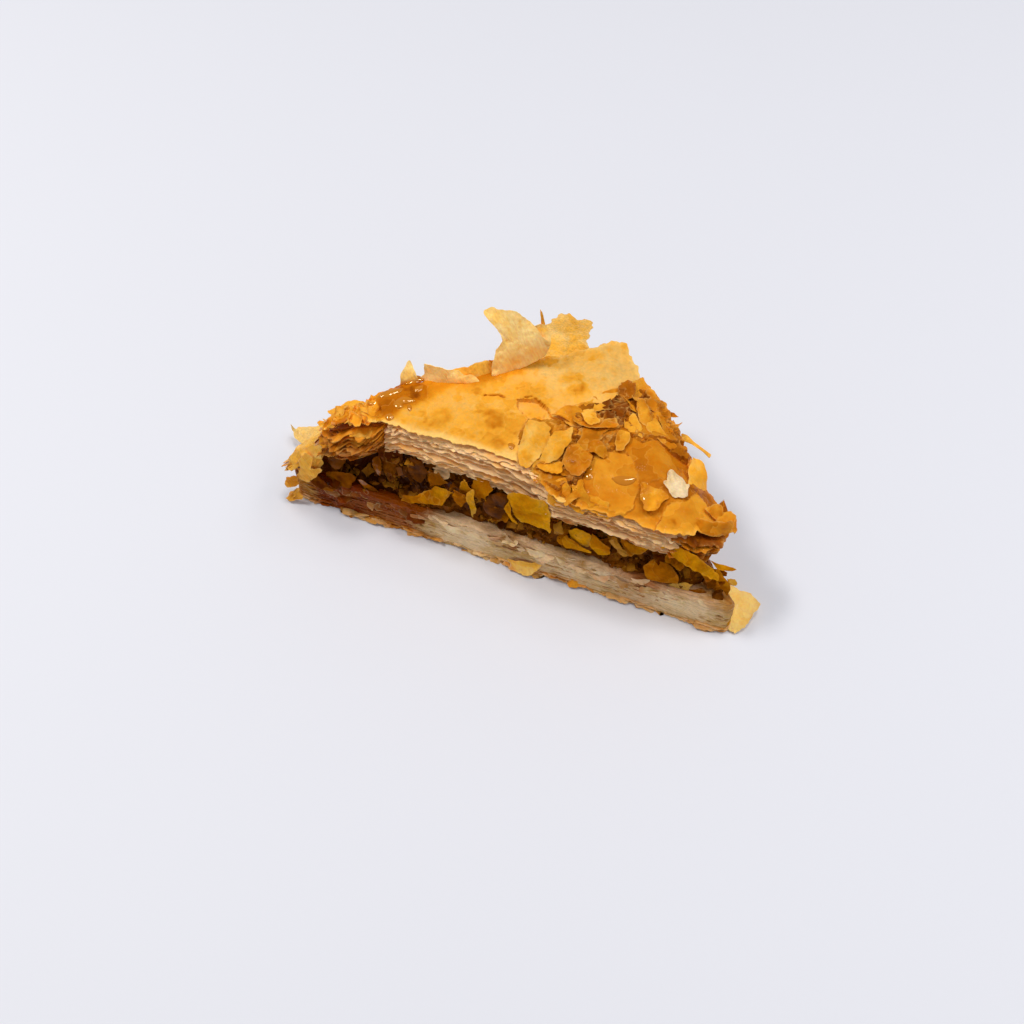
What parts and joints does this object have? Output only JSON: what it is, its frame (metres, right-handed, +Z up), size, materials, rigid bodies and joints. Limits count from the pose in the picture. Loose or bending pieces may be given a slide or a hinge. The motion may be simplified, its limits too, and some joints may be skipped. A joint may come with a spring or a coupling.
{
  "type": "baklava piece",
  "caption": "Triangular piece of baked layered pastry with a nut filling between thin crisp sheets, a glossy golden crust and torn curled flakes.",
  "frame": {"origin": "under the middle of the whole piece's box, on the surface that it rests on", "axes": "+Z up, +X along the long cut side from its thin left tip to its right tip, +Y towards the square corner at the back"},
  "size_m": [0.1302, 0.0588, 0.0543],
  "materials": {
    "golden_crust": "baked golden brown, wet with syrup in places",
    "pressed_filo": "pale beige pressed sheets, matt with a damp sheen",
    "nut_filling": "chopped nuts and sheets in dark amber syrup, wet"
  },
  "bodies": {
    "root": {"bottom_pastry": "pressed_filo", "nut_filling": "nut_filling", "top_pastry": "golden_crust"}
  },
  "joints": []
}
